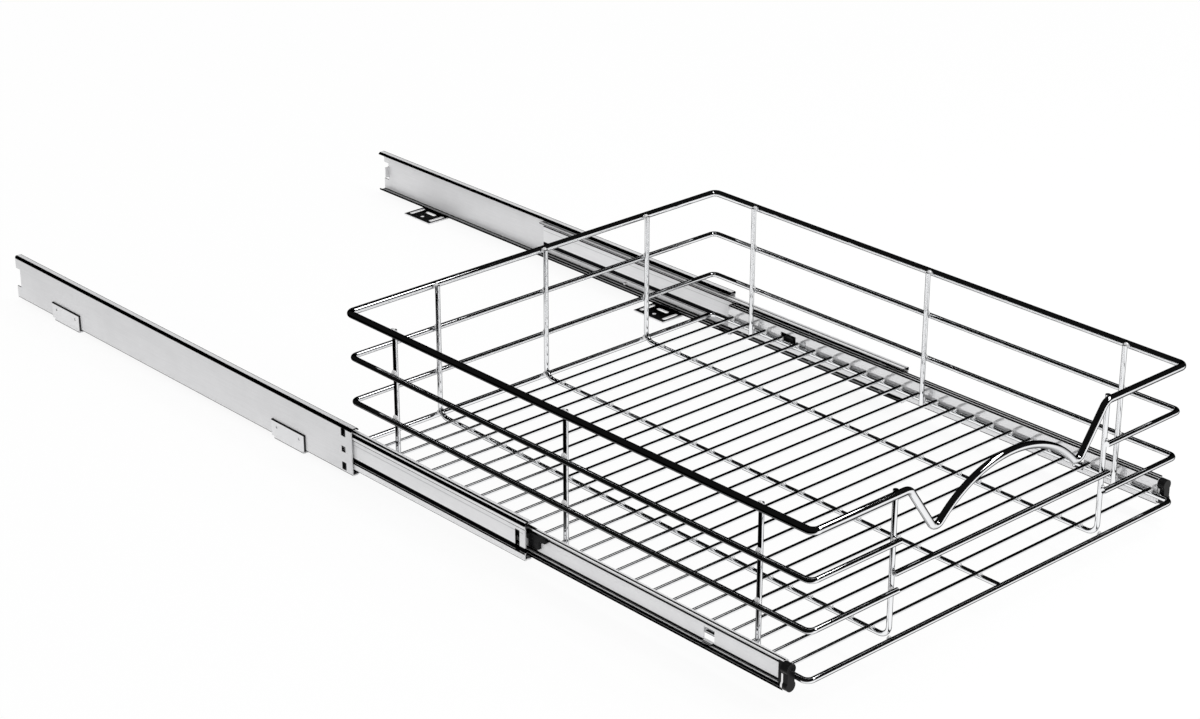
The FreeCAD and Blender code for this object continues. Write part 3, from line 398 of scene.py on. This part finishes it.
# Slide members and brackets, with their painted shade
CABINET_WEB = member("cabinet_member_zinc", NO_LINE, (20.4, 24), (236.4, 240), STOP_SLOT_SHADE_MARKS,
                     far_edge=231.9)
MIDDLE_WEB = member("middle_member_zinc", (-10.2, -6.3), (14.6, 17.2), (231.2, 232.8),
                    (LATCH_SLOT_SHADE_MARK, WEB_LINE_SHADE_MARK), pale=0.92)
DRAWER_WEB = member("drawer_member_zinc", (-10.2, -8.8), (5.5, 6.8), (228.8, 231.2),
                    (LEVER_SHADE_MARK,), pale=0.95, inside=1.0, fold=1.0)
DRAWER_BACK = member("drawer_member_polished_back", NO_LINE, NO_LINE, (227.8, 229.8),
                     metallic=0.5, gloss=0.06)
BRACKET = member("bracket_sheet", NO_LINE, (-7.3, -5), NO_LINE, BRACKET_EDGE_SHADE_MARKS, pale=0.92,
                 inside=0.05)
CAGE = zinc("cage_strip", (0.5, 0.5, 0.51), (0.38, 0.38, 0.39), 0.25, 0.15, 1.0)
BALL = chrome("bearing_ball", (0.85, 0.86, 0.88), (0.75, 0.76, 0.78), ripple=300.0)
RIVET = zinc("rivet_steel", (0.72, 0.73, 0.74), (0.6, 0.61, 0.62), 0.3, 0.1)
BLACK = black_plastic("black_moulding")


def dress(node, material):
    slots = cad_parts[node].data.materials
    if slots:
        for index in range(len(slots)):
            slots[index] = material
    else:
        slots.append(material)


for node in WIRE_NODES:
    dress(node, THIN_CHROME if node == "floor_grid" else CHROME)
for word, side in SIDES:
    dress("outer_member_" + word, CABINET_WEB)
    dress("middle_member_" + word, MIDDLE_WEB)
    dress("inner_member_" + word, DRAWER_WEB if side < 0 else DRAWER_BACK)
    for race in ("outer", "inner"):
        dress("%s_cage_%s" % (race, word), CAGE)
        dress("%s_balls_%s" % (race, word), BALL)
    dress("lever_rivet_" + word, RIVET)
    dress("release_lever_" + word, BLACK)
    dress("end_cap_" + word, BLACK)
    for end in ("front", "back"):
        dress("bracket_%s_%s" % (end, word), BRACKET)


# ---- welds ----

# The rings' sides, front and back are given as the middle of their wire.
RING_X = 0.22305
RING_FRONT_Y = -0.8196
RING_BACK_Y = -0.2635
RING_Z = (0.02405, 0.06665, 0.10925)
TOP_RAIL_Z = 0.15105
HOOP_X = (-0.128, 0.0, 0.128)
SIDE_UPRIGHT_Y = (-0.76205, -0.54155, -0.32105)
FIRST_FLOOR_WIRE_Y = RING_FRONT_Y + 0.0223
FLOOR_WIRE_PITCH = 0.022
FLOOR_WIRES = 24
RUNNER_BEAD_Z = 0.0266  # where the floor wires lie on the runners
RING_BEAD_Z = 0.0268  # where they lie on the bottom ring
SIDE_BEAD_X = 0.2200  # where the side uprights touch the rings
FRONT_BEAD_X = 0.1295  # where the rings end on the front uprights
BEAD_INSET = 0.0030  # from a ring's middle in to the hoops' uprights
BEAD_RISE = 0.0030  # from a ring's middle up to its beads
TOP_BEAD_RISE = 0.0002  # the same for the top rail, whose beads stay below its top


def weld_beads(name, places, body):
    """Small beads of weld metal: each place is (centre, radii)."""
    mesh = bpy.data.meshes.new(name)
    shape = bmesh.new()
    for centre, radii in places:
        size = Matrix.Diagonal((*radii, 1.0))
        bmesh.ops.create_uvsphere(shape, u_segments=8, v_segments=6, radius=1.0,
                                  matrix=Matrix.Translation(centre) @ size)
    for face in shape.faces:
        face.smooth = True
    shape.to_mesh(mesh)
    shape.free()
    mesh.materials.append(WELD)
    beads = bpy.data.objects.new(name, mesh)
    bpy.context.scene.collection.objects.link(beads)
    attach(beads, body)


floor_beads = []
for index in range(FLOOR_WIRES):
    y = FIRST_FLOOR_WIRE_Y + FLOOR_WIRE_PITCH * index
    for x in HOOP_X:
        floor_beads.append(((x, y, RUNNER_BEAD_Z), (0.0028, 0.0024, 0.0014)))
    for word, side in SIDES:
        floor_beads.append(((side * RING_X, y, RING_BEAD_Z), (0.0034, 0.0026, 0.0018)))
weld_beads("floor_weld_beads", floor_beads, BODY)

wall_beads = []
for z in [z + BEAD_RISE for z in RING_Z] + [TOP_RAIL_Z + TOP_BEAD_RISE]:
    for y in SIDE_UPRIGHT_Y:
        for word, side in SIDES:
            wall_beads.append(((side * SIDE_BEAD_X, y, z), (0.0024, 0.0027, 0.0028)))
    for x in HOOP_X:
        wall_beads.append(((x, RING_BACK_Y - BEAD_INSET, z), (0.0027, 0.0024, 0.0028)))
for z in RING_Z:
    for word, side in SIDES:
        wall_beads.append(((side * FRONT_BEAD_X, RING_FRONT_Y + BEAD_INSET, z),
                           (0.0027, 0.0018, 0.0031)))
weld_beads("wall_weld_beads", wall_beads, BODY)


# ---- camera ----

CAMERA_AZIMUTH = math.radians(-42.282)
CAMERA_ELEVATION = math.radians(23.850)
CAMERA_ROLL = math.radians(0.022)
CAMERA_DISTANCE = 2.36460
CAMERA_TARGET = Vector((-0.07232, -0.42212, 0.11385))
LENS = 81.568
SENSOR_WIDTH = 36.0

back = Vector((math.sin(CAMERA_AZIMUTH) * math.cos(CAMERA_ELEVATION),
               -math.cos(CAMERA_AZIMUTH) * math.cos(CAMERA_ELEVATION),
               math.sin(CAMERA_ELEVATION)))
camera_data = bpy.data.cameras.new("camera")
camera_data.lens = LENS
camera_data.sensor_width = SENSOR_WIDTH
camera_data.sensor_fit = "HORIZONTAL"
camera_data.clip_start = 0.05
camera_data.clip_end = 50.0
camera = bpy.data.objects.new("camera", camera_data)
camera.matrix_world = Matrix.Translation(CAMERA_TARGET + back * CAMERA_DISTANCE) @ (
    back.to_track_quat("Z", "Y").to_matrix().to_4x4() @ Matrix.Rotation(CAMERA_ROLL, 4, "Z"))
bpy.context.scene.collection.objects.link(camera)
bpy.context.scene.camera = camera


# ---- studio ----

FLOOR_HALF_WIDTH = 12.0
DARK_FLOOR_END = -0.32  # metal sees no floor beyond this X, on the drawer's left
LIT_FLOOR_START = -0.22


def make_floor():
    """A white floor. Metal sees it white under the drawer and dark beyond its left side."""
    mesh = bpy.data.meshes.new("studio_floor")
    shape = bmesh.new()
    bmesh.ops.create_grid(shape, x_segments=1, y_segments=1, size=FLOOR_HALF_WIDTH)
    shape.to_mesh(mesh)
    shape.free()
    floor = bpy.data.objects.new("studio_floor", mesh)
    bpy.context.scene.collection.objects.link(floor)
    material, tree, shader, vector, _ = start_material("floor_paper")
    shader.inputs["Base Color"].default_value = (0.99, 0.99, 0.99, 1)
    shader.inputs["Roughness"].default_value = 0.9
    shader.inputs["Specular IOR Level"].default_value = 0.0
    rays = tree.nodes.new("ShaderNodeLightPath").outputs
    lit = remap(tree, split_axes(tree, vector)["X"], DARK_FLOOR_END, LIT_FLOOR_START, 0.0, 1.0)
    glow = tree.nodes.new("ShaderNodeEmission")
    glow.inputs["Color"].default_value = (1, 1, 1, 1)
    tree.links.new(maths(tree, "MAXIMUM", rays["Is Camera Ray"],
                         maths(tree, "MULTIPLY", rays["Is Glossy Ray"], lit)),
                   glow.inputs["Strength"])
    share = maths(tree, "ADD", maths(tree, "MULTIPLY", rays["Is Camera Ray"], 0.9),
                  rays["Is Glossy Ray"], clamp=True)
    paper = tree.nodes.new("ShaderNodeMixShader")
    tree.links.new(share, paper.inputs[0])
    tree.links.new(shader.outputs[0], paper.inputs[1])
    tree.links.new(glow.outputs[0], paper.inputs[2])
    tree.links.new(paper.outputs[0], tree.nodes["Material Output"].inputs["Surface"])
    mesh.materials.append(material)


def make_world():
    """White behind the drawer, nearly black in the metal's reflections, and soft white light."""
    world = bpy.data.worlds.new("studio")
    bpy.context.scene.world = world
    world.use_nodes = True
    tree = world.node_tree
    tree.nodes.clear()

    def backdrop(strength):
        node = tree.nodes.new("ShaderNodeBackground")
        node.inputs["Color"].default_value = (1, 1, 1, 1)
        node.inputs["Strength"].default_value = strength
        return node.outputs[0]

    def choose(ray, otherwise, seen):
        node = tree.nodes.new("ShaderNodeMixShader")
        for socket, value in zip(node.inputs, (ray, otherwise, seen)):
            tree.links.new(value, socket)
        return node.outputs[0]

    rays = tree.nodes.new("ShaderNodeLightPath").outputs
    reflected = choose(rays["Is Glossy Ray"], backdrop(0.9), backdrop(0.006))
    surface = choose(rays["Is Camera Ray"], reflected, backdrop(1.0))
    leave = tree.nodes.new("ShaderNodeOutputWorld")
    tree.links.new(surface, leave.inputs["Surface"])


def make_lamp(name, low, high, height, power):
    """A level softbox from low to high corner in X and Y, facing down."""
    data = bpy.data.lights.new(name, "AREA")
    data.shape = "RECTANGLE"
    data.size = high[0] - low[0]
    data.size_y = high[1] - low[1]
    data.energy = power
    lamp = bpy.data.objects.new(name, data)
    lamp.location = ((low[0] + high[0]) / 2, (low[1] + high[1]) / 2, height)
    bpy.context.scene.collection.objects.link(lamp)


make_floor()
make_world()
make_lamp("overhead_strip", (0.45, -1.9), (0.72, -0.7), 1.15, 6.0)

bpy.context.scene.view_settings.view_transform = "Standard"
